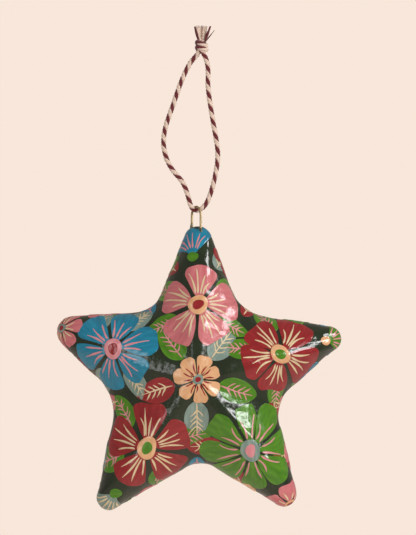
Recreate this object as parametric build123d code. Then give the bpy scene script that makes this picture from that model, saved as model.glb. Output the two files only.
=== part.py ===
"""Hanging star ornament: a hollow moulded star, its wire hanger and the tied loop of twine that carries it.

Millimetres. X runs to the right, the front faces -Y and Z is up. The origin is the point inside the
twine loop, just under the knot, where a hook or twig carries the ornament.
"""

import os
from math import cos, pi, radians, sin, tan

from build123d import *

# Star: bearing of each arm in the star's plane, its reach from the middle, half of its taper,
# the radius of its tip and the radius of the valley after it
TOP_ARM = (89.6, 54.1, 21.8, 4.8, 10.6)
LEFT_ARM = (160.5, 53.1, 23.5, 5.6, 18.0)
LOWER_LEFT_ARM = (234.0, 58.2, 24.3, 4.2, 11.1)
LOWER_RIGHT_ARM = (306.7, 56.9, 22.7, 4.5, 14.2)
RIGHT_ARM = (376.1, 53.7, 24.5, 4.4, 14.4)
ARMS = (TOP_ARM, LEFT_ARM, LOWER_LEFT_ARM, LOWER_RIGHT_ARM, RIGHT_ARM)
STAR_OFFSET = -1.5
HALF_DEPTH = 18.5
RIM_FULLNESS = 1.8
CREST_FULLNESS = 1.2
TIP_EASE = 0.55
LEVELS = (0.2, 0.4, 0.6, 0.77, 0.89, 0.96, 0.988)

# Shells and the paper strip over their joint
SHELL_WALL = 2.6
STRIP_THICK = 0.4
STRIP_WIDTH = 9.0

# Wire hanger: a hairpin turned from the star's plane, its legs through the top arm
WIRE_DIAMETER = 0.8
EYE_HEIGHT = 7.4
LEG_SPACING = 6.6
EYE_TURN = 61.0
LEG_HOLE_CLEARANCE = 0.05
LEG_BELOW_WALL = 6.5
CLINCH_BEND = 1.2
CLINCH_LENGTH = 2.6
CLINCH_ANGLE = 32.0

# Filler where the legs enter
BEAD_FRONT_RADIUS = 0.9
BEAD_BACK_RADIUS = 1.15
BEAD_LIP = 0.15
BEAD_RISE = 1.0

# Twine loop
TWINE_DIAMETER = 2.0
LOOP_DROP = 56.6
EYE_OFFSET = -1.7
BIGHT_LENGTH = 0.8
BIGHT_CLEARANCE = 0.2
FOLD_RADIUS = 2.3
LEFT_FOLD = 68.0
RIGHT_FOLD = 62.0
LEFT_LEAD = 3.0
RIGHT_LEAD = 3.0
RUN_SHARE = 0.45
LEFT_ROUTE = (
    (-6.0, 0.0, -48.2),
    (-7.6, 0.0, -44.9),
    (-10.0, 0.0, -42.0),
    (-12.2, 0.0, -38.0),
    (-13.5, 0.0, -32.9),
    (-13.3, 0.0, -27.5),
    (-11.5, 0.0, -21.5),
    (-9.3, 0.0, -15.0),
    (-6.9, 0.0, -8.7),
    (-4.4, 0.0, -3.8),
    (-2.0, 0.0, -0.9),
    (-0.95, 0.0, 1.7),
)
RIGHT_ROUTE = (
    (3.5, 0.0, -49.6),
    (5.1, 0.0, -44.4),
    (6.0, 0.0, -37.6),
    (5.6, 0.0, -30.4),
    (4.4, 0.0, -22.8),
    (3.1, 0.0, -15.4),
    (2.6, 0.0, -8.6),
    (2.3, 0.0, -3.4),
    (1.3, 0.0, -0.6),
    (0.9, 0.0, 1.6),
)

# Knot and tails
KNOT_MIDDLE = (0.2, 0.0, 2.95)
KNOT_HEIGHT = 4.8
KNOT_CORE_RADIUS = 1.65
KNOT_WRAP_RADIUS = 1.25
KNOT_WRAP_TILT = 17.0
KNOT_WRAP_STEP = 1.3
TAIL_TOP = 10.5
CREAM_FOOT = (0.4, 0.0, 4.2)
CREAM_FOOT_SIZE = (2.3, 2.1)
CREAM_TOP_X = 0.7
CREAM_TOP_SIZE = (4.0, 1.5)
PLY_DIAMETER = 0.9
LEFT_PLY = ((-0.9, -0.7, 4.0), (-1.4, -0.9, 6.6), (-2.4, -1.0, 9.9))
RIGHT_PLY = ((1.6, -0.7, 4.0), (2.4, -0.9, 7.0), (3.5, -1.0, 10.1))
THREAD_DIAMETER = 0.5
THREAD = ((1.7, 0.2, 3.6), (3.4, 0.2, 5.6), (5.1, 0.2, 8.6))

# Places that follow from the sizes
WIRE_RADIUS = WIRE_DIAMETER / 2
TWINE_RADIUS = TWINE_DIAMETER / 2
BIGHT_MIDDLE = Vector(EYE_OFFSET, 0, -LOOP_DROP)
EYE_TOP = BIGHT_MIDDLE + Vector(0, 0, TWINE_RADIUS + BIGHT_CLEARANCE + WIRE_RADIUS)
STAR_TIP_Z = EYE_TOP.Z + WIRE_RADIUS - EYE_HEIGHT
STAR_MIDDLE = Vector(STAR_OFFSET, 0, STAR_TIP_Z - TOP_ARM[1] * sin(radians(TOP_ARM[0])))
STAR_PLANE = Plane(origin=STAR_MIDDLE, x_dir=(1, 0, 0), z_dir=(0, -1, 0))
EYE_ACROSS = Vector(cos(radians(EYE_TURN)), -sin(radians(EYE_TURN)), 0)
EYE_PLANE = Plane(origin=EYE_TOP, x_dir=EYE_ACROSS, z_dir=EYE_ACROSS.cross(Vector(0, 0, 1)))


# Star body
def heading(angle):
    """Unit vector in the star's plane at an angle in degrees."""
    return Vector(cos(radians(angle)), sin(radians(angle)), 0)


def arm_edges(arm, share, inset):
    """An arm's rounded tip, its middle and radius, and the outward normals of its clockwise and anticlockwise sides."""
    bearing, reach, taper, tip, _ = arm
    tip_radius = (tip - inset) * share**TIP_EASE
    tip_middle = heading(bearing) * ((reach - inset) * share - tip_radius)
    return tip_middle, tip_radius, heading(bearing - 90 + taper), heading(bearing + 90 - taper)


def valley_middle(line_a, line_b, radius):
    """Centre of the circle of the given radius that touches two sides, each a normal and a distance."""
    (normal_a, reach_a), (normal_b, reach_b) = line_a, line_b
    away_a, away_b = reach_a + radius, reach_b + radius
    cross = normal_a.X * normal_b.Y - normal_a.Y * normal_b.X
    return Vector(
        (away_a * normal_b.Y - away_b * normal_a.Y) / cross,
        (normal_a.X * away_b - normal_b.X * away_a) / cross,
        0,
    )


def star_outline(rise_share, inset):
    """Rounded outline of the star at a share of its half depth, drawn in all round by an inset."""
    share = (1 - abs(rise_share) ** RIM_FULLNESS) ** (1 / CREST_FULLNESS)
    arms = [arm_edges(arm, share, inset) for arm in ARMS]
    edges = []
    for number, (arm, (middle, tip_radius, normal_cw, normal_ccw)) in enumerate(zip(ARMS, arms)):
        next_middle, next_radius, next_normal, _ = arms[(number + 1) % len(arms)]
        valley_radius = (arm[4] + inset) * share
        side = (normal_ccw, normal_ccw.dot(middle) + tip_radius)
        next_side = (next_normal, next_normal.dot(next_middle) + next_radius)
        dip = valley_middle(side, next_side, valley_radius)
        tip_start = middle + normal_cw * tip_radius
        tip_end = middle + normal_ccw * tip_radius
        dip_start = dip - normal_ccw * valley_radius
        dip_end = dip - next_normal * valley_radius
        dip_floor = dip - (normal_ccw + next_normal).normalized() * valley_radius
        edges.append(ThreePointArc(tip_start, middle + heading(arm[0]) * tip_radius, tip_end))
        edges.append(Line(tip_end, dip_start))
        edges.append(ThreePointArc(dip_start, dip_floor, dip_end))
        edges.append(Line(dip_end, next_middle + next_normal * next_radius))
    return Pos(0, 0, rise_share * (HALF_DEPTH - inset)) * Wire(edges)


def puffed_star(inset):
    """Whole star body between the small flats of its back and front apex, drawn in by an inset."""
    rises = [-level for level in reversed(LEVELS)] + [0] + list(LEVELS)
    return STAR_PLANE * Solid.make_loft([star_outline(rise, inset) for rise in rises])


def rim_slab():
    """Slab as deep as the paper strip is wide, lying along the joint of the shells."""
    span = 2.2 * max(arm[1] for arm in ARMS)
    return STAR_PLANE * Box(span, span, STRIP_WIDTH)


def strip_blank(outside):
    """Band of paper over the joint, flush with the shells outside, before the wire pierces it."""
    return (outside & rim_slab()) - puffed_star(STRIP_THICK)


def star_shell(walls, keep, blank, leg_holes):
    """One moulded half, with the strip's rebate and the wire's hole."""
    return split(walls, STAR_PLANE, keep) - blank - leg_holes


# Wire hanger
def tube(path, diameter):
    """Round bar along a path."""
    return sweep(Plane(origin=path @ 0, z_dir=path % 0) * Circle(diameter / 2), path)


def eye_point(across, above):
    """Point in the plane of the wire eye, measured from the middle of its top."""
    return EYE_PLANE.from_local_coords(Vector(across, above, 0))


def leg_path(side):
    """One leg from the eye's arch down through the wall to its bent end."""
    half = LEG_SPACING / 2
    foot = WIRE_RADIUS - EYE_HEIGHT - SHELL_WALL - LEG_BELOW_WALL
    end_across = half + CLINCH_LENGTH * sin(radians(CLINCH_ANGLE))
    end_above = foot - CLINCH_LENGTH * cos(radians(CLINCH_ANGLE))
    points = [(half, -half), (half, foot), (end_across, end_above)]
    return FilletPolyline(*[eye_point(side * u, v) for u, v in points], radius=CLINCH_BEND)


def hanger_wire():
    """Hairpin of wire: two legs and the arch that joins them."""
    half = LEG_SPACING / 2
    arch = ThreePointArc(eye_point(-half, -half), eye_point(0, 0), eye_point(half, -half))
    path = Wire([*leg_path(-1).edges(), arch, *leg_path(1).edges()])
    return tube(path, WIRE_DIAMETER)


def leg_bore(side, diameter):
    """Straight bar along one leg, from the arch to the leg's bend."""
    half = LEG_SPACING / 2
    foot = WIRE_RADIUS - EYE_HEIGHT - SHELL_WALL - LEG_BELOW_WALL
    return tube(Line(eye_point(side * half, -half), eye_point(side * half, foot)), diameter)


def filler_bead(side, radius, outside, wire):
    """Cone of filler that climbs one leg from the star's skin."""
    leg = eye_point(side * LEG_SPACING / 2, 0)
    skin = (outside & leg_bore(side, WIRE_DIAMETER)).bounding_box().max.Z
    cone = Cone(radius, WIRE_RADIUS + BEAD_LIP, 2 * BEAD_RISE)
    return Pos(leg.X, leg.Y, skin) * cone - outside - wire


# Twine loop
def corner_radii(points):
    """Largest arcs that the straight runs between the points allow."""
    radii = []
    for before, here, after in zip(points, points[1:], points[2:]):
        run_in, run_out = here - before, after - here
        half_turn = radians(run_in.get_angle(run_out) / 2)
        radii.append(RUN_SHARE * min(run_in.length, run_out.length) / tan(half_turn))
    return radii


def twine_run(name, side, fold, lead, route):
    """Twine from the end of the bight, round its fold and up to the knot."""
    start = BIGHT_MIDDLE + Vector(side * BIGHT_LENGTH / 2, 0, 0)
    middle = start + Vector(0, 0, FOLD_RADIUS)
    half_way = middle + Vector(side * sin(radians(fold / 2)), 0, -cos(radians(fold / 2))) * FOLD_RADIUS
    fold_end = middle + Vector(side * sin(radians(fold)), 0, -cos(radians(fold))) * FOLD_RADIUS
    leaving = Vector(side * cos(radians(fold)), 0, sin(radians(fold)))
    points = [fold_end, fold_end + leaving * lead, *[Vector(point) for point in route]]
    radii = corner_radii(points)
    print(name, "arc radii", [round(radius, 1) for radius in radii])
    climb = FilletPolyline(*points, radius=radii)
    path = Wire([ThreePointArc(start, half_way, fold_end), *climb.edges()])
    run = tube(path, TWINE_DIAMETER)
    print(name, "volume", round(run.volume, 1), "of", round(path.length * pi * TWINE_RADIUS**2, 1))
    return run


def twine_bight():
    """Short straight bit of twine under the arch of the wire."""
    return Pos(*BIGHT_MIDDLE) * Rot(0, 90, 0) * Cylinder(TWINE_RADIUS, BIGHT_LENGTH)


def twine_knot():
    """Overhand knot: a rounded core and two slanting wraps."""
    core = scale(Sphere(1), by=(KNOT_CORE_RADIUS, KNOT_CORE_RADIUS, KNOT_HEIGHT / 2))
    wrap = Rot(0, KNOT_WRAP_TILT, 0) * Torus(KNOT_WRAP_RADIUS, TWINE_RADIUS)
    knot = core + Pos(0, 0, -KNOT_WRAP_STEP / 2) * wrap + Pos(0, 0, KNOT_WRAP_STEP / 2) * wrap
    return Pos(*KNOT_MIDDLE) * knot


def cream_tail(knot):
    """Flat fan of frayed plies standing on the knot."""
    foot = Pos(*CREAM_FOOT) * Ellipse(CREAM_FOOT_SIZE[0] / 2, CREAM_FOOT_SIZE[1] / 2)
    top = Pos(CREAM_TOP_X, 0, TAIL_TOP) * Ellipse(CREAM_TOP_SIZE[0] / 2, CREAM_TOP_SIZE[1] / 2)
    return loft([foot.face(), top.face()]) - knot


def ply_tail(points, diameter, *neighbours):
    """One ply from inside the knot to its free end, trimmed where it touches its neighbours."""
    tail = tube(Spline(*points), diameter)
    for neighbour in neighbours:
        tail = tail - neighbour
    return tail


def main():
    outside = puffed_star(0)
    walls = outside - puffed_star(SHELL_WALL)
    blank = strip_blank(outside)
    wire = hanger_wire()
    hole = WIRE_DIAMETER + 2 * LEG_HOLE_CLEARANCE
    leg_holes = leg_bore(-1, hole) + leg_bore(1, hole)
    knot = twine_knot()
    cream = cream_tail(knot)
    left_run = twine_run("twine_left_run", -1, LEFT_FOLD, LEFT_LEAD, LEFT_ROUTE)
    right_run = twine_run("twine_right_run", 1, RIGHT_FOLD, RIGHT_LEAD, RIGHT_ROUTE)
    nodes = {
        "front_shell": star_shell(walls, Keep.TOP, blank, leg_holes),
        "back_shell": star_shell(walls, Keep.BOTTOM, blank, leg_holes),
        "seam_strip": blank - leg_holes,
        "hanger_wire": wire,
        "filler_bead_front": filler_bead(1, BEAD_FRONT_RADIUS, outside, wire),
        "filler_bead_back": filler_bead(-1, BEAD_BACK_RADIUS, outside, wire),
        "twine_bight": twine_bight(),
        "twine_left_run": left_run - knot,
        "twine_right_run": right_run - knot,
        "twine_knot": knot,
        "tail_cream": cream,
        "tail_burgundy_left": ply_tail(LEFT_PLY, PLY_DIAMETER, knot, cream),
        "tail_burgundy_right": ply_tail(RIGHT_PLY, PLY_DIAMETER, knot, cream),
        "tail_thread": ply_tail(THREAD, THREAD_DIAMETER, knot, cream),
    }
    os.makedirs("parts", exist_ok=True)
    for name, shape in nodes.items():
        export_step(shape, f"parts/{name}.step")


main()
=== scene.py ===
"""Painted paper star hung by a wire eye from a tied loop of two-colour twine."""

import bpy
import numpy as np
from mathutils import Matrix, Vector


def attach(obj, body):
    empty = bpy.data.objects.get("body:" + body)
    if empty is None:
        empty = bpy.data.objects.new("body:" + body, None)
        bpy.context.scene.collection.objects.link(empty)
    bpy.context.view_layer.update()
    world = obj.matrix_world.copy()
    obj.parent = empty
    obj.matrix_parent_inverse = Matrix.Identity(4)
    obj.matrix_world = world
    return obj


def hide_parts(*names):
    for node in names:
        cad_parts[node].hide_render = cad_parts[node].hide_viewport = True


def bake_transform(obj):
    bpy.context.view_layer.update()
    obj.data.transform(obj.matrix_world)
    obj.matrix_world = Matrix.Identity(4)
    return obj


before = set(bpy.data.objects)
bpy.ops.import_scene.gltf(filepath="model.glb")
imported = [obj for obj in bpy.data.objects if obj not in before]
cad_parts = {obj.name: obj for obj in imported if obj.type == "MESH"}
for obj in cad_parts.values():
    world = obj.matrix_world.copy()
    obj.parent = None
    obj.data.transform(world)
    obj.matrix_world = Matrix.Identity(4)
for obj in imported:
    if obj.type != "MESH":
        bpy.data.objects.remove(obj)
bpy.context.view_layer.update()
rng = np.random.default_rng(11)


# Star body
# Two halves moulded from paper pulp are glued at the rim and papered over, so no seam shows.
# The hand-smoothed skin swells softly between the crests and carries a dark green ground under brushed lacquer.
# Sizes are in millimetres, one for each arm from the top one round by the left.
MM = 0.001
ARM_BEARING = np.radians([89.6, 160.5, 234.0, 306.7, 376.1])
ARM_REACH = np.array([54.1, 53.1, 58.2, 56.9, 53.7])
ARM_TAPER = np.radians([21.8, 23.5, 24.3, 22.7, 24.5])
TIP_RADIUS = np.array([4.8, 5.6, 4.2, 4.5, 4.4])
TIP_EASE = 0.5
TIP_LIMIT = 0.8 * ARM_REACH.min()
VALLEY_RADIUS = np.array([10.6, 18.0, 11.1, 14.2, 14.4])
HALF_DEPTH = 18.5
RIM_FULLNESS = 1.8
CREST_FULLNESS = 1.2
STAR_MIDDLE = np.array([-1.5, 0.0, -116.1])
SKIN_ROWS = 190
OUTLINE_STEPS = (24, 18, 22, 18)
SKIN_SWELLS = [
    (0.16, (0.21, 0.0, 0.13, 1.0), (-0.11, 0.4, 0.17, 0.0)),
    (0.10, (0.43, 0.0, -0.31, 2.0), (0.29, 0.5, 0.37, 1.3)),
    (0.035, (1.1, 0.0, 0.7, 0.0), (-1.2, 1.1, 0.9, 0.6)),
]


def unit(angle):
    """Unit vectors in the star's plane: cosine to the right, sine up."""
    return np.stack([np.cos(angle), np.sin(angle)], -1)


def star_outlines(share):
    """Rounded star outlines, one row for each share of full size.

    Each arm in turn gives its tip arc, its side, the valley arc after it and the next arm's side. A tip is a
    circle on the arm's axis. A valley is the circle that touches the sides of the two arms beside it.
    """
    share = share[:, None]
    tip = np.minimum(TIP_RADIUS * share**TIP_EASE, TIP_LIMIT * share)
    dip_radius = VALLEY_RADIUS * share
    middle = unit(ARM_BEARING) * (ARM_REACH * share - tip)[..., None]
    side = ARM_BEARING + np.pi / 2 - ARM_TAPER
    next_side = np.roll(ARM_BEARING - np.pi / 2 + ARM_TAPER, -1)
    next_side[-1] += 2 * np.pi
    next_middle = np.roll(middle, -1, axis=1)
    away = (middle * unit(side)).sum(-1) + tip + dip_radius
    next_tip = np.roll(tip, -1, axis=1)
    next_away = (next_middle * unit(next_side)).sum(-1) + next_tip + dip_radius
    dip_x = away * np.sin(next_side) - next_away * np.sin(side)
    dip_y = np.cos(side) * next_away - np.cos(next_side) * away
    dip = np.stack([dip_x, dip_y], -1) / np.sin(next_side - side)[:, None]
    tip, next_tip, dip_radius = (radius[..., None, None] for radius in (tip, next_tip, dip_radius))
    steps = [np.linspace(0, 1, count, endpoint=False)[:, None] for count in OUTLINE_STEPS]
    half_turn = np.pi / 2 - ARM_TAPER
    tip_angle = ARM_BEARING + half_turn * (2 * steps[0] - 1)
    dip_angle = side + (next_side - side) * steps[2]
    tip_arc = middle[:, :, None] + tip * unit(tip_angle.T)
    dip_arc = dip[:, :, None] - dip_radius * unit(dip_angle.T)
    tip_end = middle[:, :, None] + tip * unit(side)[:, None]
    dip_end = dip[:, :, None] - dip_radius * unit(next_side)[:, None]
    next_start = next_middle[:, :, None] + next_tip * unit(next_side)[:, None]
    fall = tip_end + (dip_arc[:, :, :1] - tip_end) * steps[1]
    climb = dip_end + (next_start - dip_end) * steps[3]
    return np.concatenate([tip_arc, fall, dip_arc, climb], axis=2).reshape(len(share), -1, 2)


def profile(rows):
    """Shares of size and rise from crest to rim, on the curve share^crest + rise^rim = 1."""
    turn = np.linspace(0, np.pi / 2, rows)
    return np.sin(turn) ** (2 / CREST_FULLNESS), np.cos(turn) ** (2 / RIM_FULLNESS)


def hand_smoothed(skin):
    """Pushes a skin grid in and out along its normals, as hand smoothing leaves it, and gives the normals too.

    Each swell is a height times two waves. A wave is the sine of the place times three wave numbers, plus a phase.
    """
    along = np.gradient(skin, axis=0)
    around = np.roll(skin, -1, axis=1) - np.roll(skin, 1, axis=1)
    normal = np.cross(along, around)
    normal *= np.sign((normal * skin).sum(-1, keepdims=True))
    length = np.linalg.norm(normal, axis=-1, keepdims=True)
    normal = np.where(length > 1e-9, normal / np.maximum(length, 1e-9), np.sign(skin * [0, 1, 0]))
    place = np.concatenate([skin, np.ones_like(skin[..., :1])], -1)
    swell = sum(rise * np.sin(place @ one) * np.sin(place @ other) for rise, one, other in SKIN_SWELLS)
    return skin + normal * swell[..., None], normal


def half_skin(side, rows):
    """Grid of one half of the star, crest to rim, on the star's own middle: outlines carried to their rise."""
    share, rise = profile(rows)
    flat = star_outlines(share)
    depth = np.broadcast_to((side * HALF_DEPTH * rise)[:, None], flat.shape[:2])
    return np.stack([flat[..., 0], depth, flat[..., 1]], -1)


def grid_faces(rows, columns, closed):
    """Quads of a grid, row by row, joined round where it is closed."""
    index = np.arange(rows * columns).reshape(rows, columns)
    after = np.roll(index, -1, axis=1) if closed else index[:, 1:]
    index = index if closed else index[:, :-1]
    quads = np.stack([index[:-1], after[:-1], after[1:], index[1:]], -1)
    return quads.reshape(-1, 4)


def new_piece(name, vertices, faces, material, uv=None):
    """Mesh object at the origin from vertices in millimetres, smooth, with one finish and an optional map."""
    mesh = bpy.data.meshes.new(name)
    faces = faces if isinstance(faces, list) else faces.tolist()
    mesh.from_pydata((np.asarray(vertices) * MM).tolist(), [], faces)
    mesh.polygons.foreach_set("use_smooth", np.ones(len(mesh.polygons), bool))
    if uv is not None:
        layer = mesh.uv_layers.new(name="UVMap")
        corner = np.zeros(len(mesh.loops), int)
        mesh.loops.foreach_get("vertex_index", corner)
        layer.data.foreach_set("uv", np.asarray(uv)[corner].astype(np.float32).ravel())
    for finish in material if isinstance(material, list) else [material]:
        mesh.materials.append(finish)
    piece = bpy.data.objects.new(name, mesh)
    bpy.context.scene.collection.objects.link(piece)
    return piece


def srgb(red, green, blue):
    """Linear colour from the usual 0 to 255 values."""
    share = np.array([red, green, blue]) / 255
    linear = np.where(share <= 0.04045, share / 12.92, ((share + 0.055) / 1.055) ** 2.4)
    return (*linear.tolist(), 1.0)


def set_sockets(node, values):
    """Plain values on a node's own sockets, by name or number."""
    for socket, value in values.items():
        node.inputs[socket].default_value = value


def add_node(tree, kind, values=None, **settings):
    """Shader node with its settings and its plain socket values."""
    node = tree.nodes.new(kind)
    for key, value in settings.items():
        setattr(node, key, value)
    set_sockets(node, values or {})
    return node


def new_finish(name):
    """Material with its node tree, its shader and its texture coordinates."""
    material = bpy.data.materials.new(name)
    material.use_nodes = True
    tree = material.node_tree
    return material, tree, tree.nodes["Principled BSDF"], add_node(tree, "ShaderNodeTexCoord")


def stretched_noise(tree, source, scale, stretch, turn=(0, 0, 0), detail=3.0):
    """Noise drawn out into streaks: the coordinates are turned, then stretched, before the noise reads them."""
    place = add_node(tree, "ShaderNodeMapping", {"Rotation": turn, "Scale": stretch})
    noise = add_node(tree, "ShaderNodeTexNoise", {"Scale": scale, "Detail": detail, "Roughness": 0.55})
    tree.links.new(source, place.inputs["Vector"])
    tree.links.new(place.outputs["Vector"], noise.inputs["Vector"])
    return noise.outputs["Fac"]


NOISE_SPAN = (0.32, 0.68)


def tint_ramp(tree, amount, tints):
    """Colour ramp through the tints, dark to light, over the middle of a noise's range."""
    ramp = add_node(tree, "ShaderNodeValToRGB")
    places = np.linspace(*NOISE_SPAN, len(tints))
    first, last = ramp.color_ramp.elements
    first.position, last.position = places[0], places[-1]
    first.color, last.color = tints[0], tints[-1]
    for position, tint in zip(places[1:-1], tints[1:-1]):
        ramp.color_ramp.elements.new(position).color = tint
    tree.links.new(amount, ramp.inputs["Fac"])
    return ramp.outputs["Color"]


def brush_marks(tree, source):
    """Marks of the lacquer brush, drawn from the middle out along the arms.

    Noise reads the direction from the star's middle, so its grains become rays, and the distance breaks them up.
    Only its peaks stand proud, as ridges on an otherwise smooth coat.
    """
    away = add_node(tree, "ShaderNodeVectorMath", {1: STAR_MIDDLE * MM}, operation="SUBTRACT")
    ray = add_node(tree, "ShaderNodeVectorMath", operation="NORMALIZE")
    far = add_node(tree, "ShaderNodeVectorMath", operation="LENGTH")
    step = add_node(tree, "ShaderNodeMath", {1: 5.0}, operation="MULTIPLY")
    grain = {"Scale": 42.0, "Detail": 2.5, "Roughness": 0.5}
    noise = add_node(tree, "ShaderNodeTexNoise", grain, noise_dimensions="4D")
    tree.links.new(source, away.inputs[0])
    tree.links.new(away.outputs["Vector"], ray.inputs[0])
    tree.links.new(away.outputs["Vector"], far.inputs[0])
    tree.links.new(ray.outputs["Vector"], noise.inputs["Vector"])
    tree.links.new(far.outputs["Value"], step.inputs[0])
    tree.links.new(step.outputs["Value"], noise.inputs["W"])
    peaks = {"From Min": 0.5, "From Max": 0.72}
    ridge = add_node(tree, "ShaderNodeMapRange", peaks, interpolation_type="SMOOTHSTEP")
    tree.links.new(noise.outputs["Fac"], ridge.inputs["Value"])
    return ridge.outputs["Result"]


def lacquered_paint(name, tints, own_map):
    """Opaque brushed paint under a thick gloss lacquer whose brush marks break up the lights."""
    material, tree, shader, place = new_finish(name)
    body = place.outputs["Object"]
    strokes = place.outputs["UV"] if own_map else body
    stretch, scale = ((0.25, 1.0, 1.0), 0.7) if own_map else ((1.0, 1.0, 0.5), 160.0)
    paint = stretched_noise(tree, strokes, scale, stretch, detail=4.0)
    tree.links.new(tint_ramp(tree, paint, tints), shader.inputs["Base Color"])
    marks = brush_marks(tree, body)
    pulp = stretched_noise(tree, body, 330.0, (1.0, 1.0, 1.0), detail=4.0)
    both = add_node(tree, "ShaderNodeMath", {1: 0.5}, operation="MULTIPLY_ADD")
    tree.links.new(pulp, both.inputs[0])
    tree.links.new(marks, both.inputs[2])
    bump = add_node(tree, "ShaderNodeBump", {"Strength": 0.5, "Distance": 0.00007})
    tree.links.new(both.outputs["Value"], bump.inputs["Height"])
    tree.links.new(bump.outputs["Normal"], shader.inputs["Coat Normal"])
    set_sockets(shader, {"Roughness": 0.55, "Specular IOR Level": 0.08})
    set_sockets(shader, {"Coat Weight": 1.0, "Coat IOR": 1.58, "Coat Roughness": 0.05})
    return material


GROUND_TINTS = [srgb(13, 30, 9), srgb(19, 38, 13), srgb(27, 46, 20)]
GROUND = lacquered_paint("dark_green_ground", GROUND_TINTS, own_map=False)


def star_half(name, side, nodes):
    """One lacquered half of the star, with a single vertex where its crests meet."""
    skin, _ = hand_smoothed(half_skin(side, SKIN_ROWS))
    rows, columns = skin.shape[0] - 1, skin.shape[1]
    vertices = np.concatenate([skin[:1, :1].reshape(1, 3), skin[1:].reshape(-1, 3)]) + STAR_MIDDLE
    first = np.arange(columns) + 1
    cap = np.stack([np.zeros(columns, int), np.roll(first, -1), first], -1)
    quads = grid_faces(rows, columns, True) + 1
    quads = quads if side > 0 else quads[:, ::-1]
    cap = cap if side > 0 else cap[:, ::-1]
    piece = new_piece(name, vertices, cap.tolist() + quads.tolist(), GROUND)
    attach(piece, "star")
    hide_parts(*nodes)


star_half("front_lacquer", -1, ["front_shell", "seam_strip"])
star_half("back_lacquer", 1, ["back_shell"])


# Painted flowers
# Opaque body colour laid by hand over the ground, one loaded stroke to a petal, with veins and centres on top.
# Leaves come first and flowers over them, the design wraps over the rim, and the lacquer runs over it all.
ON_GROUND, OVER_LEAVES, OVER_FLOWERS = 0.0, 0.09, 0.165
FILM_THICK, FILM_EDGE, FILM_FOOT = 0.055, 0.025, -0.04
FILM_SQUARENESS = 10
EDGE_RING = 0.985
STROKE_LIFT, STROKE_CROWN = 0.105, 0.03
STROKE_WAVER, STROKE_START, STROKE_TAPER = 0.22, 0.35, 0.7
EYE_LIFT, PUPIL_LIFT = 0.05, 0.085
RINGS, SPOKES, STROKE_ROWS = 12, 56, 16
SPOKE = np.linspace(-np.pi, np.pi, SPOKES, endpoint=False)
CHART_ROWS, CHART_COLUMNS = 361, 1440
CHART_SHIFT = 60


def skin_chart():
    """Skin looked up by bearing and by share of the way from crest to crest.

    The way starts at the front crest, is 1 at the rim and 2 at the back crest. For each bearing it is the length
    along the skin, so a design keeps its scale as it goes over the rim.
    """
    share, rise = profile(CHART_ROWS)
    bearing = np.linspace(0, 2 * np.pi, CHART_COLUMNS, endpoint=False)
    flat = star_outlines(share)[1:]
    angle, radius = np.arctan2(flat[..., 1], flat[..., 0]), np.hypot(flat[..., 0], flat[..., 1])
    reach = np.stack([np.interp(bearing, a, r, period=2 * np.pi) for a, r in zip(angle, radius)])
    reach = np.concatenate([np.zeros((1, CHART_COLUMNS)), reach])
    depth = np.broadcast_to(-HALF_DEPTH * rise[:, None], reach.shape)
    step = np.hypot(np.diff(reach, axis=0), np.diff(depth, axis=0))
    way = np.concatenate([np.zeros((1, CHART_COLUMNS)), np.cumsum(step, axis=0)])
    even = np.linspace(0, 1, CHART_ROWS)
    columns = list(zip((way / way[-1]).T, reach.T, depth.T))
    reach = np.stack([np.interp(even, share, far) for share, far, _ in columns], -1)
    depth = np.stack([np.interp(even, share, deep) for share, _, deep in columns], -1)
    front = np.stack([reach * np.cos(bearing), depth, reach * np.sin(bearing)], -1)
    back = (front * [1, -1, 1])[-2::-1]
    return way[-1], *hand_smoothed(np.concatenate([front, back]))


FULL_WAY, CHART_SKIN, CHART_NORMAL = skin_chart()


def on_star(flat, lift, side):
    """Carries flat points, millimetres right of and above the crest point, onto the skin and lifts them off it."""
    column = np.arctan2(flat[..., 1], flat[..., 0]) % (2 * np.pi) / (2 * np.pi) * CHART_COLUMNS
    left = column.astype(int) % CHART_COLUMNS
    right = (left + 1) % CHART_COLUMNS
    over = (column % 1)[..., None]
    full = FULL_WAY[left] * (1 - over[..., 0]) + FULL_WAY[right] * over[..., 0]
    way = np.hypot(flat[..., 0], flat[..., 1]) / full
    row = np.clip(way if side < 0 else 2 - way, 0, 2) * (CHART_ROWS - 1)
    low = np.minimum(row.astype(int), 2 * CHART_ROWS - 3)
    up = (row - low)[..., None]

    def looked_up(table):
        near = table[low, left] * (1 - over) + table[low, right] * over
        far = table[low + 1, left] * (1 - over) + table[low + 1, right] * over
        return near * (1 - up) + far * up

    normal = looked_up(CHART_NORMAL)
    normal /= np.linalg.norm(normal, axis=-1, keepdims=True)
    return looked_up(CHART_SKIN) + normal * np.asarray(lift)[..., None] + STAR_MIDDLE


films = {}


def lay_film(finish, points, lift, faces, chart, side):
    """Keeps patches of paint, each a set of flat points with the same faces, for the piece of one colour."""
    placed = on_star(points, np.broadcast_to(lift, points.shape[:-1]), side)
    films.setdefault(finish, []).append((placed, faces, chart, side))


def turned(points, angle):
    """Points turned about the origin, one angle for each patch."""
    cosine, sine = np.cos(angle)[:, None], np.sin(angle)[:, None]
    x, y = points[..., 0], points[..., 1]
    return np.stack([x * cosine - y * sine, x * sine + y * cosine], -1)


DISC_FACES = [[0, 1 + k, 1 + (k + 1) % SPOKES] for k in range(SPOKES)]
DISC_FACES += (grid_faces(RINGS + 1, SPOKES, True)[:, ::-1] + 1).tolist()


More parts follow.
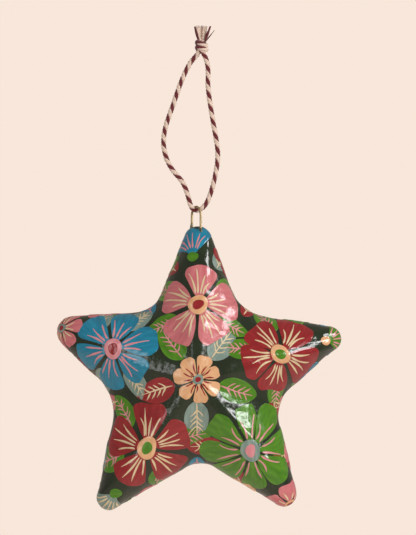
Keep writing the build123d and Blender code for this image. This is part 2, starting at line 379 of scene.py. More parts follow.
def lay_blobs(finish, outline, angle, place, side, base):
    """Filled patches from outlines (patches, spokes, 2) drawn along +X, then turned and set at their places.

    Rings shrink to each middle, the film thins towards its edge, and a last ring there goes down into the skin.
    """
    ring = np.concatenate([np.linspace(0, EDGE_RING, RINGS), [1.0, 1.0]])
    middle = outline.mean(axis=1, keepdims=True)
    rings = middle[:, None] + (outline - middle)[:, None] * ring[1:, None, None]
    points = np.concatenate([middle, rings.reshape(len(outline), -1, 2)], axis=1)
    height = base + FILM_EDGE + (FILM_THICK - FILM_EDGE) * (1 - ring**FILM_SQUARENESS)
    height[-1] = FILM_FOOT
    lift = np.concatenate([height[:1], np.repeat(height[1:], SPOKES)])
    chart = points + rng.uniform(0, CHART_SHIFT, (len(outline), 1, 2))
    lay_film(finish, turned(points, angle) + place, lift, DISC_FACES, chart, side)


def wave(count, turns, amount):
    """Uneven scale round each outline, as a hand leaves it: a wave of so many turns with a chance phase."""
    height = amount * rng.uniform(0.5, 1.3, (count, 1))
    return height * np.sin(turns * SPOKE + rng.uniform(0, 2 * np.pi, (count, 1)))


PETAL_BLUNTNESS = 0.78
NOTCH_WIDTH = 0.5


def petal_outlines(count, start, length, spread, notch):
    """Blunt petals along +X, each a rounded patch of distance and bearing.

    So a petal widens outwards. Its end is wavy, and a bell curve cut out of it makes the notch.
    """
    out, aside = (np.sign(v) * np.abs(v) ** PETAL_BLUNTNESS for v in (np.cos(SPOKE), np.sin(SPOKE)))
    reach = length * rng.uniform(0.92, 1.05, (count, 1))
    radius = start + (reach - start) * (1 + out) / 2 * (1 + wave(count, 5, 0.02) + wave(count, 9, 0.01))
    cut = notch * length * rng.uniform(0.6, 1.3, (count, 1))
    radius = radius - cut * np.exp(-((SPOKE / NOTCH_WIDTH) ** 2))
    bearing = spread * rng.uniform(0.9, 1.04, (count, 1)) * aside
    bearing = bearing * (1 + wave(count, 2, 0.05) + wave(count, 4, 0.04))
    return radius[..., None] * unit(bearing)


def lay_strokes(finish, start, end, bend, width, side, base):
    """Tapered brush strokes from start to end points, bowed sideways, rounded across and thin at the far end.

    A stroke's width wavers, fills at the start and falls off with the fourth power of the way along it.
    """
    along = np.linspace(0, 1, STROKE_ROWS)[None, :, None]
    start, end = np.asarray(start)[:, None], np.asarray(end)[:, None]
    run = end - start
    aside = np.stack([-run[..., 1], run[..., 0]], -1)
    aside = aside / np.linalg.norm(aside, axis=-1, keepdims=True)
    bow = np.asarray(bend).reshape(-1, 1, 1)
    path = start + run * along + aside * bow * 4 * along * (1 - along)
    uneven = 1 + STROKE_WAVER * np.sin(7 * along + rng.uniform(0, 2 * np.pi, (len(run), 1, 1)))
    half = width / 2 * uneven * np.minimum(1, 6 * along + STROKE_START) * (1 - STROKE_TAPER * along**4)
    across = np.array([-1.0, 0.0, 1.0])
    points = path[:, :, None] + aside[:, :, None] * (across * half)[..., None]
    count = len(points)
    edge = np.minimum(1, 12 * along[0, :, 0] * (1 - along[0, :, 0]))[:, None]
    lift = STROKE_LIFT + base + STROKE_CROWN * (edge * np.array([0.0, 1.0, 0.0]) - 1)
    length = np.linalg.norm(run, axis=-1)[..., None]
    chart = np.stack(np.broadcast_arrays(along * length, across), -1).reshape(count, -1, 2)
    faces = grid_faces(STROKE_ROWS, len(across), False)[:, ::-1].tolist()
    lay_film(finish, points.reshape(count, -1, 2), lift.ravel(), faces, chart, side)


def lay_dab(finish, place, radius, side, base, tall, turn=0.0):
    """Oval dab at the given place: a ring with two slow waves in it, flattened and turned."""
    ring = unit(SPOKE) * [1.0, tall] * radius
    shape = ring * (1 + wave(1, 2, 0.05) + wave(1, 3, 0.05))[..., None]
    lay_blobs(finish, shape, np.array([turn]), place, side, base)


RED, PINK, GREEN, BLUE = "red", "pink", "leaf_green", "blue"
PEACH, SAGE, CREAM, ROSE = "peach", "sage", "cream", "rose"
VEIN_OF = {RED: CREAM, PINK: CREAM, SAGE: CREAM, GREEN: ROSE, BLUE: ROSE, PEACH: RED}
PETAL_START, PETAL_FILL = 0.12, 0.93
VEIN_START, VEIN_END, VEIN_FAN = 0.24, 0.78, 0.56
EYE_SHARE, EYE_FLATNESS = 0.225, 0.84
PUPIL_SHARE, PUPIL_FLATNESS = 0.125, 0.8
LARGE_FLOWER = 11.0


def flower(x, z, reach, count, finish, eye, pupil, turn, notch=0.05, side=-1, base=OVER_LEAVES):
    """Open flower: a ring of petals, a few fine veins that fan out on each, an oval eye and its pupil.

    Its parts are shares of its reach, and a large flower has about twenty veins, a small one twelve.
    """
    middle = np.array([x, z])
    angle = np.radians(turn) + 2 * np.pi * np.arange(count) / count + rng.normal(0, 0.04, count)
    spread = PETAL_FILL * np.pi / count
    petals = petal_outlines(count, PETAL_START * reach, reach, spread, notch)
    lay_blobs(finish, petals, angle, middle, side, base)
    lines = max(1, round((20 if reach > LARGE_FLOWER else 12) / count))
    fan = np.linspace(-1, 1, lines) if lines > 1 else np.zeros(1)
    bearing = angle[:, None] + VEIN_FAN * spread * fan + rng.normal(0, 0.025, (count, lines))
    far = (VEIN_END - 0.1 * fan**2) * rng.uniform(0.78, 1.06, (count, lines)) * reach
    start = middle + unit(bearing.ravel()) * VEIN_START * reach
    end = middle + unit((bearing + 0.05 * fan).ravel()) * far.reshape(-1, 1)
    bow = np.tile(fan, count) * -0.02 * reach + rng.normal(0, 0.012 * reach, count * lines)
    lay_strokes(VEIN_OF[finish], start, end, bow, 0.42 + 0.012 * reach, side, base)
    lean = rng.uniform(0, 3)
    lay_dab(eye, middle, EYE_SHARE * reach, side, base + EYE_LIFT, EYE_FLATNESS, lean)
    lay_dab(pupil, middle, PUPIL_SHARE * reach, side, base + PUPIL_LIFT, PUPIL_FLATNESS, lean)


VEIN_WIDTH = 0.5
LEAF_POINT, LEAF_FULLNESS = 1.2, 0.2
MIDRIB = [[[0.05, 0.0], [0.88, 0.0]]]
RIB_PAIRS = 4
RIB_SPAN, RIB_SLANT, RIB_REACH = (0.22, 0.62), 0.15, 0.27


def leaf(x, z, length, width, turn, finish, side=-1):
    """Leaf with its stalk end at the given place: an oval pointed at both ends, a midrib and pairs of ribs.

    Its width goes with a power of the sine round the outline, fuller near the stalk. Its ribs are at shares of its
    length, and each slants on from the midrib towards the edge.
    """
    angle = np.array([np.radians(turn)])
    place = np.array([x, z])
    along = length / 2 * (1 + np.cos(SPOKE))
    across = width / 2 * np.sign(np.sin(SPOKE)) * np.abs(np.sin(SPOKE)) ** LEAF_POINT
    across = across * (1 - LEAF_FULLNESS * np.cos(SPOKE))
    shape = np.stack([along, across], -1)[None] * (1 + wave(1, 3, 0.03))[..., None]
    lay_blobs(finish, shape, angle, place, side, ON_GROUND)
    step = np.repeat(np.linspace(*RIB_SPAN, RIB_PAIRS), 2)
    hand = np.tile([-1.0, 1.0], RIB_PAIRS)
    ribs = np.stack([step, 0 * step, step + RIB_SLANT, hand * RIB_REACH * width / length], -1)
    lines = np.concatenate([MIDRIB, ribs.reshape(-1, 2, 2)]) * length
    lines = turned(lines.reshape(1, -1, 2), angle).reshape(lines.shape) + place
    bow = rng.normal(0, 0.015 * length, len(lines))
    lay_strokes(VEIN_OF[finish], lines[:, 0], lines[:, 1], bow, VEIN_WIDTH, side, ON_GROUND)


STALK_SHARE, BEHIND_LENGTH, BEHIND_WIDTH = 0.5, 0.78, 0.46


def leaves_behind(x, z, reach, bearings, finish, side=-1):
    """Leaves that look out from under a flower, on the given bearings from its middle."""
    for bearing in bearings:
        stalk = np.array([x, z]) + unit(np.radians(np.array(bearing))) * STALK_SHARE * reach
        leaf(*stalk, BEHIND_LENGTH * reach, BEHIND_WIDTH * reach, bearing + rng.normal(0, 5), finish, side)


TULIP_FAN = np.array([-0.5, 0.5, 0.0])
TULIP_PETAL = {"spread": 0.32, "notch": 0.04}
TULIP_VEINS = [-0.11, 0.11]
CUP_SHARE, CUP_FLATNESS = 0.16, 0.85


def tulip(x, z, length, turn, finish, cup, side=-1, base=OVER_LEAVES):
    """Half-open flower from the side: three long petals that fan from a small cup, with two veins in each."""
    place = np.array([x, z])
    angle = np.radians(turn) + TULIP_FAN
    petals = petal_outlines(len(angle), 0.04 * length, length, **TULIP_PETAL)
    lay_blobs(finish, petals, angle, place, side, base)
    bearing = np.repeat(angle, len(TULIP_VEINS)) + np.tile(TULIP_VEINS, len(angle))
    start, end = place + unit(bearing) * 0.26 * length, place + unit(bearing) * 0.74 * length
    bow = rng.normal(0, 0.02 * length, len(bearing))
    lay_strokes(VEIN_OF[finish], start, end, bow, VEIN_WIDTH, side, base)
    lay_dab(cup, place, CUP_SHARE * length, side, base + EYE_LIFT, CUP_FLATNESS)


def at_rim(bearing, share):
    """Flat place on a bearing at a share of the way from the crest to the rim."""
    turn = np.radians(bearing) % (2 * np.pi)
    full = np.interp(turn / (2 * np.pi) * CHART_COLUMNS, np.arange(CHART_COLUMNS), FULL_WAY)
    return tuple(unit(np.array(turn)) * share * full)


# Front: an open flower on each arm and one on the crest, half-open ones at the tips, leaves between
for x, z, reach, bearings, finish in [
    (0.5, 26.5, 17.0, (35, 150, 210, 330), GREEN),
    (-30.5, 10.5, 17.0, (62, 118, 238, 300), SAGE),
    (30.5, 8.5, 17.0, (100, 170, 275, 330), GREEN),
    (-18.0, -25.5, 18.5, (10, 130, 195, 285), GREEN),
    (19.5, -26.5, 18.5, (48, 180, 250, 350), RED),
]:
    leaves_behind(x, z, reach, bearings, finish)
for bearing, finish in [(53, SAGE), (126, GREEN), (198, RED), (270, SAGE), (342, GREEN)]:
    leaf(*(8.5 * unit(np.radians(np.array(bearing)))), 15.5, 9.0, bearing, finish)
flower(0.5, 26.5, 17.0, 5, PINK, PEACH, RED, turn=88, notch=0.1)
flower(-30.5, 10.5, 17.0, 6, BLUE, ROSE, RED, turn=14)
flower(30.5, 8.5, 17.0, 5, RED, PEACH, GREEN, turn=52, notch=0.12)
flower(-18.0, -25.5, 18.5, 5, RED, PEACH, GREEN, turn=20, notch=0.08)
flower(19.5, -26.5, 18.5, 8, GREEN, SAGE, ROSE, turn=8)
flower(0.5, -0.5, 9.0, 7, PEACH, SAGE, RED, turn=20)
tulip(-1.5, 44.5, 13.0, 96, BLUE, GREEN)
flower(-51.5, 18.5, 9.0, 7, PINK, SAGE, RED, turn=5)
tulip(48.0, 13.5, 12.0, 16, GREEN, PEACH)
tulip(-30.0, -43.0, 14.0, 235, SAGE, GREEN)
flower(35.5, -48.5, 9.5, 5, PINK, PEACH, RED, turn=30, notch=0.1)
for x, z, turn, finish in [
    (7.5, 41.0, 68, SAGE),
    (-7.5, 40.0, 128, RED),
    (-43.0, 24.5, 120, GREEN),
    (-43.5, 4.5, 205, GREEN),
    (45.0, 21.5, 70, BLUE),
    (43.0, 0.5, 320, PINK),
    (-36.0, -33.0, 205, GREEN),
    (-21.5, -46.0, 275, BLUE),
    (26.0, -48.0, 262, BLUE),
    (39.0, -35.5, 335, RED),
]:
    leaf(x, z, 11.5, 6.0, turn, finish)

# Rim: flowers just behind the edge and leaves that go over it
PAST_RIM, BEFORE_RIM = 1.16, 0.84
for bearing, count, finish, eye in [
    (74, 6, RED, SAGE),
    (106, 5, GREEN, PEACH),
    (143, 6, PINK, PEACH),
    (178, 5, RED, PEACH),
    (217, 6, SAGE, PEACH),
    (251, 5, PINK, PEACH),
    (289, 6, PEACH, SAGE),
    (324, 5, PINK, PEACH),
    (358, 6, BLUE, PEACH),
    (34, 5, GREEN, SAGE),
]:
    flower(*at_rim(bearing, PAST_RIM), 8.0, count, finish, eye, RED, turn=bearing, base=OVER_FLOWERS)
for bearing, finish in [(53, RED), (125, BLUE), (197, PINK), (270, BLUE), (342, PINK)]:
    leaf(*at_rim(bearing, BEFORE_RIM), 15.0, 7.0, bearing, finish)

# Back: the same kinds of flower in another order
for x, z, reach, bearings, finish in [
    (0.0, 25.0, 15.5, (35, 145, 215, 325), SAGE),
    (-28.0, 10.0, 15.5, (60, 120, 240, 300), GREEN),
    (28.0, 8.0, 15.5, (95, 150, 265, 325), GREEN),
    (-17.0, -23.5, 16.5, (45, 130, 190, 285), RED),
    (18.0, -24.0, 16.5, (50, 170, 255, 345), GREEN),
]:
    leaves_behind(x, z, reach, bearings, finish, side=1)
for bearing, finish in [(53, SAGE), (128, RED), (197, PINK), (270, GREEN), (342, BLUE)]:
    leaf(*(8.0 * unit(np.radians(np.array(bearing)))), 15.0, 8.5, bearing, finish, side=1)
flower(0.0, 25.0, 15.5, 8, GREEN, SAGE, ROSE, turn=80, side=1)
flower(-28.0, 10.0, 15.5, 5, RED, PEACH, GREEN, turn=20, notch=0.1, side=1)
flower(28.0, 8.0, 15.5, 5, PINK, PEACH, RED, turn=48, notch=0.1, side=1)
flower(-17.0, -23.5, 16.5, 6, BLUE, PEACH, RED, turn=10, side=1)
flower(18.0, -24.0, 16.5, 5, RED, PEACH, GREEN, turn=12, notch=0.1, side=1)
flower(0.5, 0.0, 10.0, 7, PEACH, SAGE, RED, turn=10, side=1)
tulip(-0.5, 41.0, 12.0, 92, PINK, GREEN, side=1, base=OVER_FLOWERS)
leaf(-41.0, 14.5, 11.0, 6.5, 160, SAGE, side=1)
tulip(43.0, 12.5, 11.0, 16, BLUE, PEACH, side=1, base=OVER_FLOWERS)
tulip(-27.5, -38.5, 11.5, 236, GREEN, SAGE, side=1, base=OVER_FLOWERS)
leaf(28.5, -38.0, 12.0, 6.5, 306, SAGE, side=1)

# One piece for each colour, from all its patches, with faces turned over for the back
for piece_name, tints in {
    RED: [srgb(136, 19, 26), srgb(150, 24, 31), srgb(162, 34, 39)],
    PINK: [srgb(200, 104, 110), srgb(211, 116, 121), srgb(219, 128, 132)],
    GREEN: [srgb(62, 120, 6), srgb(73, 132, 10), srgb(87, 145, 18)],
    BLUE: [srgb(2, 116, 146), srgb(4, 129, 161), srgb(14, 142, 174)],
    PEACH: [srgb(222, 164, 114), srgb(232, 177, 129), srgb(238, 190, 146)],
    SAGE: [srgb(112, 135, 125), srgb(129, 151, 141), srgb(147, 167, 156)],
    CREAM: [srgb(218, 192, 146), srgb(229, 206, 163), srgb(236, 217, 180)],
    ROSE: [srgb(212, 128, 136), srgb(222, 142, 148), srgb(230, 158, 162)],
}.items():
    vertices, faces, charts, count = [], [], [], 0
    for placed, patch_faces, chart, side in films[piece_name]:
        size = placed.shape[1]
        shifts = count + size * np.arange(len(placed))
        flip = slice(None) if side < 0 else slice(None, None, -1)
        faces += [[shift + k for k in face[flip]] for shift in shifts for face in patch_faces]
        vertices.append(placed.reshape(-1, 3))
        charts.append(np.asarray(chart).reshape(-1, 2))
        count += placed.shape[0] * size
    paint = lacquered_paint(piece_name + "_paint", tints, own_map=True)
    film = new_piece("paint_" + piece_name, np.concatenate(vertices), faces, paint, np.concatenate(charts))
    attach(film, "star")


# Wire hanger
# One dull drawn brass wire is bent to a hairpin, its legs put through the top arm and their ends bent out inside.
# The holes are closed with lumps of glue and paper dust, painted over at the front leg and bare at the back one.
BRASS_TINTS = [srgb(170, 146, 104), srgb(188, 166, 124), srgb(204, 184, 146)]
PAINTED_FILLER_TINTS = [srgb(40, 46, 30), srgb(66, 66, 44), srgb(98, 92, 64)]
BARE_FILLER_TINTS = [srgb(64, 56, 36), srgb(112, 98, 66), srgb(178, 158, 124)]
FRONT_LEG, BACK_LEG = (-0.1, -2.89), (-3.3, 2.89)
LUMP_ROWS, LUMP_SIDES = 22, 36
LUMP_NECK, LUMP_DRAW = 0.42, 1.2
brass, tree, shader, place = new_finish("dull_drawn_brass")
tarnish = stretched_noise(tree, place.outputs["Object"], 260.0, (1.0, 1.0, 0.5))
tree.links.new(tint_ramp(tree, tarnish, BRASS_TINTS), shader.inputs["Base Color"])
set_sockets(shader, {"Metallic": 1.0, "Roughness": 0.46})
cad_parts["hanger_wire"].data.materials[0] = brass


def capped_tubes(rings):
    """Vertices and faces of tubes (tubes, rows, sides, 3), their two ends closed."""
    tubes, rows, sides = rings.shape[:3]
    wall = grid_faces(rows, sides, True)
    walls = [face for k in range(tubes) for face in (wall + k * rows * sides).tolist()]
    ends = []
    for first in np.arange(tubes) * rows * sides:
        last = first + (rows - 1) * sides
        ends += [(first + np.arange(sides)[::-1]).tolist(), (last + np.arange(sides)).tolist()]
    return rings.reshape(-1, 3), walls + ends


def lacquered_filler(name, tints):
    """Glue and paper dust: coarse grain in colour and height under a thin run of lacquer."""
    material, tree, shader, place = new_finish(name)
    grain = stretched_noise(tree, place.outputs["Object"], 1400.0, (1.0, 1.0, 1.0))
    tree.links.new(tint_ramp(tree, grain, tints), shader.inputs["Base Color"])
    bump = add_node(tree, "ShaderNodeBump", {"Strength": 0.5, "Distance": 0.0002})
    tree.links.new(grain, bump.inputs["Height"])
    tree.links.new(bump.outputs["Normal"], shader.inputs["Normal"])
    set_sockets(shader, {"Roughness": 0.4, "Coat Weight": 0.6, "Coat Roughness": 0.15})
    return material


def filler_lump(node, leg, foot, top, reach, lean, finish):
    """Lump of filler round one leg: rings from the wide buried foot up to the neck at the wire.

    The rings swell unevenly in two waves, and half a sine wave carries them aside between the foot and the neck.
    """
    rise = np.linspace(0, 1, LUMP_ROWS)[:, None]
    around = np.linspace(0, 2 * np.pi, LUMP_SIDES, endpoint=False)
    uneven = 1 + 0.16 * np.sin(3 * around + 5 * rise) + 0.1 * np.sin(5 * around - 11 * rise + 1)
    radius = LUMP_NECK + (reach - LUMP_NECK) * (1 - rise) ** LUMP_DRAW * uneven
    middle = np.array(lean) * np.sin(np.pi * rise)
    flat = unit(around) * radius[..., None] + middle[:, None] + leg
    height = np.broadcast_to(foot + (top - foot) * rise, radius.shape)
    vertices, faces = capped_tubes(np.concatenate([flat, height[..., None]], -1)[None])
    piece = new_piece(node + "_lump", vertices, faces, finish)
    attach(piece, "star")
    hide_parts(node)


painted_filler = lacquered_filler("painted_filler", PAINTED_FILLER_TINTS)
bare_filler = lacquered_filler("bare_filler", BARE_FILLER_TINTS)
filler_lump("filler_bead_front", FRONT_LEG, -64.8, -62.7, 0.95, (0.0, 0.0), painted_filler)
filler_lump("filler_bead_back", BACK_LEG, -68.2, -60.8, 1.5, (-0.15, 0.05), bare_filler)


# Twine loop
# Two-ply cotton baker's twine, one ply burgundy and one cream, passed under the wire and knotted on itself.
# The plies are soft bundles of fibre and press each other flat, so the twine is nearly round.
# The loop's route goes from the knot down the left, under the wire and up the right.
BURGUNDY_TINTS = [srgb(84, 24, 29), srgb(110, 36, 41), srgb(131, 53, 57)]
CREAM_TINTS = [srgb(219, 191, 170), srgb(237, 211, 192), srgb(247, 226, 211)]
BURGUNDY_PLY = (0.49, 0.73)
CREAM_PLY = (0.54, 0.79)
PLY_FULLNESS = 2.5
LAY_RADIUS = 0.335
TWIST_PITCH = 4.75
TWIST_START = 1.33
TWIST_DRIFT = 1.05
DRIFT_START, DRIFT_LENGTH = 15.0, 101.0
PLY_SIDES = 20
LOOP_SPACING = 0.28
LOOP_ROUTE = [
    (-0.35, 0.5, 1.6),
    (-1.3, 0.4, -0.2),
    (-2.9, 0.2, -1.9),
    (-4.3, 0.0, -3.8),
    (-5.6, 0.0, -6.4),
    (-7.0, 0.0, -9.6),
    (-8.6, 0.0, -14.0),
    (-10.1, 0.0, -18.6),
    (-11.7, 0.0, -22.8),
    (-13.0, 0.0, -27.0),
    (-13.6, 0.0, -31.2),
    (-13.2, 0.0, -35.3),
    (-11.7, 0.0, -39.6),
    (-9.3, 0.0, -43.1),
    (-7.0, 0.0, -45.4),
    (-5.5, 0.0, -48.4),
    (-4.6, 0.0, -51.4),
    (-3.9, 0.0, -54.2),
    (-2.85, 0.0, -56.15),
    (-0.9, 0.0, -56.35),
    (0.8, 0.0, -55.3),
    (2.2, 0.0, -53.4),
    (3.5, 0.0, -50.2),
    (4.5, 0.0, -46.6),
    (5.3, 0.0, -43.0),
    (5.9, 0.0, -39.4),
    (6.1, 0.0, -35.6),
    (5.7, 0.0, -32.0),
    (5.0, 0.0, -28.0),
    (4.2, 0.0, -23.6),
    (3.4, 0.0, -18.8),
    (2.8, 0.0, -14.6),
    (2.45, 0.0, -10.4),
    (2.6, 0.0, -7.2),
    (2.45, -0.1, -4.2),
    (1.75, -0.4, -1.5),
    (0.7, -0.6, 0.5),
    (0.2, -0.5, 1.8),
]


def smooth_line(route, spacing):
    """Evenly spaced points, in millimetres, read from a smooth curve that the route controls."""
    curve = bpy.data.curves.new("route", "CURVE")
    curve.dimensions = "3D"
    spline = curve.splines.new("NURBS")
    spline.points.add(len(route) - 1)
    spline.points.foreach_set("co", np.hstack([np.array(route), np.ones((len(route), 1))]).ravel())
    spline.order_u = 3
    spline.use_endpoint_u = True
    curve.resolution_u = 24
    holder = bpy.data.objects.new("route", curve)
    bpy.context.scene.collection.objects.link(holder)
    bpy.context.view_layer.update()
    mesh = bpy.data.meshes.new_from_object(holder)
    points = np.zeros(3 * len(mesh.vertices))
    mesh.vertices.foreach_get("co", points)
    bpy.data.objects.remove(holder)
    bpy.data.curves.remove(curve)
    bpy.data.meshes.remove(mesh)
    points = points.reshape(-1, 3)
    way = np.concatenate([[0], np.cumsum(np.linalg.norm(np.diff(points, axis=0), axis=1))])
    even = np.linspace(0, way[-1], int(way[-1] / spacing) + 1)
    return np.stack([np.interp(even, way, points[:, k]) for k in range(3)], -1)


def carried_frame(line, across):
    """Two cross directions along a line, the first as near to a fixed direction as it can be."""
    ahead = np.gradient(line, axis=0)
    ahead /= np.linalg.norm(ahead, axis=1, keepdims=True)
    first = np.asarray(across) - ahead * (ahead @ np.asarray(across))[:, None]
    first /= np.linalg.norm(first, axis=1, keepdims=True)
    return first, np.cross(ahead, first)


def twisted_ply(line, phase, half_size, across=(0.0, 1.0, 0.0), pitch=TWIST_PITCH, drift=0.0):
    """One ply: a flattened round section carried on a left-hand helix round the cord's line.

    The helix turns once in each pitch, a little ahead or behind as the twist drifts in one slow wave.
    The section is a fuller oval, deep outwards and wide along the lay, with shallow ridges of fibre on it.
    """
    first, second = carried_frame(line, across)
    way = np.concatenate([[0], np.cumsum(np.linalg.norm(np.diff(line, axis=0), axis=1))])
    laid = way - drift * np.cos(2 * np.pi * (way - DRIFT_START) / DRIFT_LENGTH)
    turn = (phase - 2 * np.pi * laid / pitch)[:, None]
    out = np.cos(turn) * first + np.sin(turn) * second
    along_lay = np.cos(turn) * second - np.sin(turn) * first
    around = np.linspace(0, 2 * np.pi, PLY_SIDES, endpoint=False)
    oval = unit(around)
    oval = np.sign(oval) * np.abs(oval) ** (2 / PLY_FULLNESS) * half_size
    way = way[:, None]
    ridge = 1 + 0.02 * np.sin(5 * around + 2.6 * way) + 0.025 * np.sin(0.9 * way + 3 * phase)
    deep = LAY_RADIUS + oval[:, 0] * ridge
    wide = oval[:, 1] * ridge
    ring = deep[..., None] * out[:, None] + wide[..., None] * along_lay[:, None]
    chart = np.stack(np.broadcast_arrays(around[None] / (2 * np.pi), way), -1)
    return line[:, None] + ring, chart


def spun_cotton(name, tints):
    """Matt cotton with a soft sheen: fine fibres run slantwise along the ply on its own map."""
    material, tree, shader, place = new_finish(name)
    fibres = stretched_noise(tree, place.outputs["UV"], 6.0, (6.0, 0.5, 1.0), (0, 0, 0.5), 5.0)
    tree.links.new(tint_ramp(tree, fibres, tints), shader.inputs["Base Color"])
    bump = add_node(tree, "ShaderNodeBump", {"Strength": 0.12, "Distance": 0.0001})
    tree.links.new(fibres, bump.inputs["Height"])
    tree.links.new(bump.outputs["Normal"], shader.inputs["Normal"])
    set_sockets(shader, {"Roughness": 0.85, "Specular IOR Level": 0.2})
    set_sockets(shader, {"Sheen Weight": 0.6, "Sheen Roughness": 0.5})
    return material


burgundy_cotton = spun_cotton("burgundy_cotton", BURGUNDY_TINTS)
cream_cotton = spun_cotton("cream_cotton", CREAM_TINTS)


def two_ply_piece(name, line, phase, **options):
    """Cord of a burgundy and a cream ply, half a turn apart, as one mesh with two finishes."""
    sides = ((phase, BURGUNDY_PLY), (phase + np.pi, CREAM_PLY))
    plies = [twisted_ply(line, turn, half_size, **options) for turn, half_size in sides]
    vertices, faces = capped_tubes(np.stack([ring for ring, _ in plies]))
    chart = np.concatenate([chart.reshape(-1, 2) for _, chart in plies])
    piece = new_piece(name, vertices, faces, [burgundy_cotton, cream_cotton], chart)
    first = len(vertices) // 2
    finish = [int(min(face) >= first) for face in faces]
    piece.data.polygons.foreach_set("material_index", finish)
    return piece


loop_line = smooth_line(LOOP_ROUTE, LOOP_SPACING)
twine = two_ply_piece("twine", loop_line, phase=TWIST_START, drift=TWIST_DRIFT)


# Knot
# The two ends of the loop are tied together in one overhand knot of the same twine.
# Its wraps lie slantwise over each other, and the twine opens to about half its twist there.
KNOT_SPACING = 0.2
KNOT_TWIST = {"phase": 4.4, "across": (0.0, 0.0, 1.0), "pitch": 10.2}
KNOT_ROUTE = [
    (0.3, -0.2, 1.8),
    (1.0, 1.15, 1.0),
    (-1.25, 1.2, 1.7),
    (-1.5, -0.9, 2.55),
    (0.2, -1.75, 2.05),
    (1.85, -0.9, 1.45),
    (1.8, 1.0, 1.9),
    (0.2, 1.6, 2.8),
    (-1.35, 1.0, 3.8),
    (-1.4, -0.8, 4.35),
    (0.2, -1.7, 3.65),
    (1.8, -0.9, 2.9),
    (1.7, 0.8, 3.3),
    (0.4, 1.0, 4.2),
    (0.1, 0.1, 5.0),
]
knot = two_ply_piece("knot", smooth_line(KNOT_ROUTE, KNOT_SPACING), **KNOT_TWIST)
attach(knot, "twine_loop")
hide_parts("twine_knot")


# Frayed ends
# Above the knot the plies are cut short and left to open into a brush of fibres.
# The cream ends fan out in the middle, and the burgundy ones stand apart at the sides.
FIBRE_ROWS, FIBRE_SIDES = 12, 6
FIBRE_BOW = 0.16
STRAYING = 0.15
TIP_TAPER = 0.55
MAP_ROUND, MAP_LENGTH, MAP_SHIFT = 6.3, 6, 3
COTTON_OF = {"twine_cream": cream_cotton, "twine_burgundy": burgundy_cotton}


def brush(name, node, slot, count, thick, foot, tip):
    """Bundle of thin fibres, each a tapering tube on a slightly bowed line.

    Foot and tip are each a middle and a spread. A fibre keeps its place in the bundle from the foot to the tip,
    apart from a little straying, and its bow is the square of half a sine wave.
    """
    along = np.linspace(0, 1, FIBRE_ROWS)[None, :, None]
    place = rng.uniform(-1, 1, (count, 1, 3))
    start = np.array(foot[0]) + place * foot[1]
    place = (1 - STRAYING) * place + STRAYING * rng.uniform(-1, 1, (count, 1, 3))
    end = np.array(tip[0]) + place * tip[1]
    bow = rng.normal(0, FIBRE_BOW, (count, 1, 3)) * [1.0, 1.0, 0.2]
    line = start + (end - start) * along + bow * np.sin(np.pi * along) ** 2
    ahead = np.gradient(line, axis=1)
    ahead /= np.linalg.norm(ahead, axis=-1, keepdims=True)
    first = np.cross(ahead, [0.0, 1.0, 0.0])
    first /= np.linalg.norm(first, axis=-1, keepdims=True)
    second = np.cross(ahead, first)
    around = np.linspace(0, 2 * np.pi, FIBRE_SIDES, endpoint=False)[:, None]
    radius = thick / 2 * (1 - TIP_TAPER * along[..., None] ** 3) * rng.uniform(0.8, 1.2, (count, 1, 1, 1))
    out = np.cos(around) * first[:, :, None] + np.sin(around) * second[:, :, None]
    vertices, faces = capped_tubes(line[:, :, None] + radius * out)
    way = MAP_LENGTH * along + MAP_SHIFT * np.arange(count)[:, None, None]
    chart = np.stack(np.broadcast_arrays(around[:, 0] / MAP_ROUND, way), -1)
    piece = new_piece(name, vertices, faces, COTTON_OF[slot], chart.reshape(-1, 2))
    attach(piece, "twine_loop")
    if node:
        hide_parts(node)
    return piece


FRAYED_ENDS = [
    ("frayed_cream", "tail_cream", "twine_cream", 22, 0.64,
     ((0.4, 0.0, 4.0), (0.5, 0.5, 0.2)), ((0.65, -0.1, 9.8), (2.85, 0.7, 0.4))),
    ("frayed_tips", None, "twine_burgundy", 8, 0.36,
     ((0.4, 0.5, 5.0), (0.5, 0.2, 0.2)), ((0.55, 0.75, 10.3), (2.4, 0.2, 0.15))),
    ("frayed_left", "tail_burgundy_left", "twine_burgundy", 9, 0.3,
     ((-0.7, -0.6, 4.2), (0.22, 0.22, 0.1)), ((-2.25, -0.95, 9.6), (0.3, 0.3, 0.4))),
    ("frayed_right", "tail_burgundy_right", "twine_burgundy", 11, 0.3,
     ((1.4, -0.6, 4.2), (0.25, 0.25, 0.1)), ((3.3, -0.95, 9.9), (0.45, 0.35, 0.4))),
    ("loose_thread", "tail_thread", "twine_burgundy", 3, 0.24,
     ((1.5, 0.1, 4.0), (0.1, 0.1, 0.1)), ((4.9, 0.15, 8.4), (0.16, 0.12, 0.2))),
]
ends = [brush(*row) for row in FRAYED_ENDS]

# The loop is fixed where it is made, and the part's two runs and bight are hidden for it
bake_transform(twine)
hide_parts("twine_left_run", "twine_right_run", "twine_bight")


# Backdrop, light and camera
# A plain pale peach room, with a floor well below the star that fades away into it.
# Two lamps at the right and a tall strip at the left front make the lights seen in the lacquer.
# A broad fill at the left front and a lamp behind light the rest and aren't mirrored.
PEACH_WALL = srgb(248, 231, 218)
ROOM_LIGHT = 0.19
ROOM_GLOSS = 0.18
ROOM_SEEN = 0.81
world = bpy.data.worlds.new("pale_room")
bpy.context.scene.world = world
world.use_nodes = True
tree = world.node_tree
background = tree.nodes["Background"]
background.inputs["Color"].default_value = PEACH_WALL
seen = add_node(tree, "ShaderNodeLightPath")
either = add_node(tree, "ShaderNodeMath", operation="MAXIMUM")
tree.links.new(seen.outputs["Is Camera Ray"], either.inputs[0])
tree.links.new(seen.outputs["Is Transmission Ray"], either.inputs[1])
shine = add_node(tree, "ShaderNodeMath", {1: ROOM_GLOSS, 2: ROOM_LIGHT}, operation="MULTIPLY_ADD")
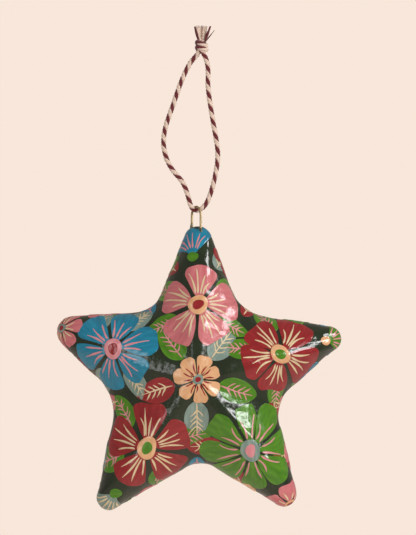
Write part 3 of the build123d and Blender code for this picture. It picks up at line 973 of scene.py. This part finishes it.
tree.links.new(seen.outputs["Is Glossy Ray"], shine.inputs[0])
strength = add_node(tree, "ShaderNodeMath", {1: ROOM_SEEN}, operation="MULTIPLY_ADD")
tree.links.new(either.outputs["Value"], strength.inputs[0])
tree.links.new(shine.outputs["Value"], strength.inputs[2])
tree.links.new(strength.outputs["Value"], background.inputs["Strength"])

FLOOR_LEVEL = -270.0
FLOOR_RINGS = np.array([0.0, 40, 90, 160, 300, 500])
FLOOR_SIDES = 64
FLOOR_GLOW = 0.22
FADE_FROM, FADE_TO = 0.12, 0.48
floor_turn = np.linspace(0, 2 * np.pi, FLOOR_SIDES, endpoint=False)
floor_grid = FLOOR_RINGS[:, None, None] * unit(floor_turn)
floor_points = np.concatenate([floor_grid, np.full((*floor_grid.shape[:2], 1), FLOOR_LEVEL)], -1)
floor_paint, tree, shader, place = new_finish("pale_floor")
set_sockets(shader, {"Base Color": PEACH_WALL, "Emission Color": PEACH_WALL})
set_sockets(shader, {"Roughness": 0.8, "Specular IOR Level": 0.0})
seen = add_node(tree, "ShaderNodeLightPath")
glow = add_node(tree, "ShaderNodeMath", {1: FLOOR_GLOW}, operation="MULTIPLY")
tree.links.new(seen.outputs["Is Camera Ray"], glow.inputs[0])
tree.links.new(glow.outputs["Value"], shader.inputs["Emission Strength"])
level = add_node(tree, "ShaderNodeVectorMath", {1: (1.0, 1.0, 0.0)}, operation="MULTIPLY")
far = add_node(tree, "ShaderNodeVectorMath", operation="LENGTH")
fade_span = {"From Min": FADE_FROM, "From Max": FADE_TO}
fade = add_node(tree, "ShaderNodeMapRange", fade_span, interpolation_type="SMOOTHSTEP")
clear = add_node(tree, "ShaderNodeBsdfTransparent")
blend = add_node(tree, "ShaderNodeMixShader")
tree.links.new(place.outputs["Object"], level.inputs[0])
tree.links.new(level.outputs["Vector"], far.inputs[0])
tree.links.new(far.outputs["Value"], fade.inputs["Value"])
tree.links.new(fade.outputs["Result"], blend.inputs[0])
tree.links.new(shader.outputs["BSDF"], blend.inputs[1])
tree.links.new(clear.outputs["BSDF"], blend.inputs[2])
tree.links.new(blend.outputs["Shader"], tree.nodes["Material Output"].inputs["Surface"])
floor_faces = grid_faces(len(FLOOR_RINGS), FLOOR_SIDES, True)
floor = new_piece("floor", floor_points.reshape(-1, 3), floor_faces, floor_paint)


def soft_lamp(name, place, width, height, power, mirrored=True):
    """Oblong soft lamp that faces the star's middle, seen in the gloss or not."""
    lamp = bpy.data.lights.new(name, "AREA")
    lamp.shape = "RECTANGLE"
    lamp.size, lamp.size_y, lamp.energy = width, height, power
    holder = bpy.data.objects.new(name, lamp)
    holder.location = place
    holder.visible_glossy = mirrored
    direction = Vector(STAR_MIDDLE * MM) - Vector(place)
    holder.rotation_euler = direction.to_track_quat("-Z", "Y").to_euler()
    bpy.context.scene.collection.objects.link(holder)


soft_lamp("key", (0.7525, -0.643, 0.017), 0.54, 0.14, 3.3)
soft_lamp("side", (0.8123, -0.2419, 0.4123), 0.62, 0.21, 4.4)
soft_lamp("strip", (-0.55, -1.06, -0.08), 0.25, 0.95, 1.9)
soft_lamp("fill", (-1.15, -1.4, 0.45), 2.4, 2.4, 13.5, mirrored=False)
soft_lamp("back", (-0.3, 1.2, 0.25), 1.2, 1.2, 9.0, mirrored=False)

camera = bpy.data.cameras.new("camera")
camera.sensor_fit = "VERTICAL"
camera.sensor_height = 36.0
camera.lens = 243.0
camera.clip_end = 10.0
eye_point = bpy.data.objects.new("camera", camera)
eye_point.location = (0.00252, -1.3, -0.07686)
eye_point.rotation_euler = (np.pi / 2, 0.0, 0.0)
bpy.context.scene.collection.objects.link(eye_point)
bpy.context.scene.camera = eye_point
bpy.context.scene.view_settings.view_transform = "Standard"
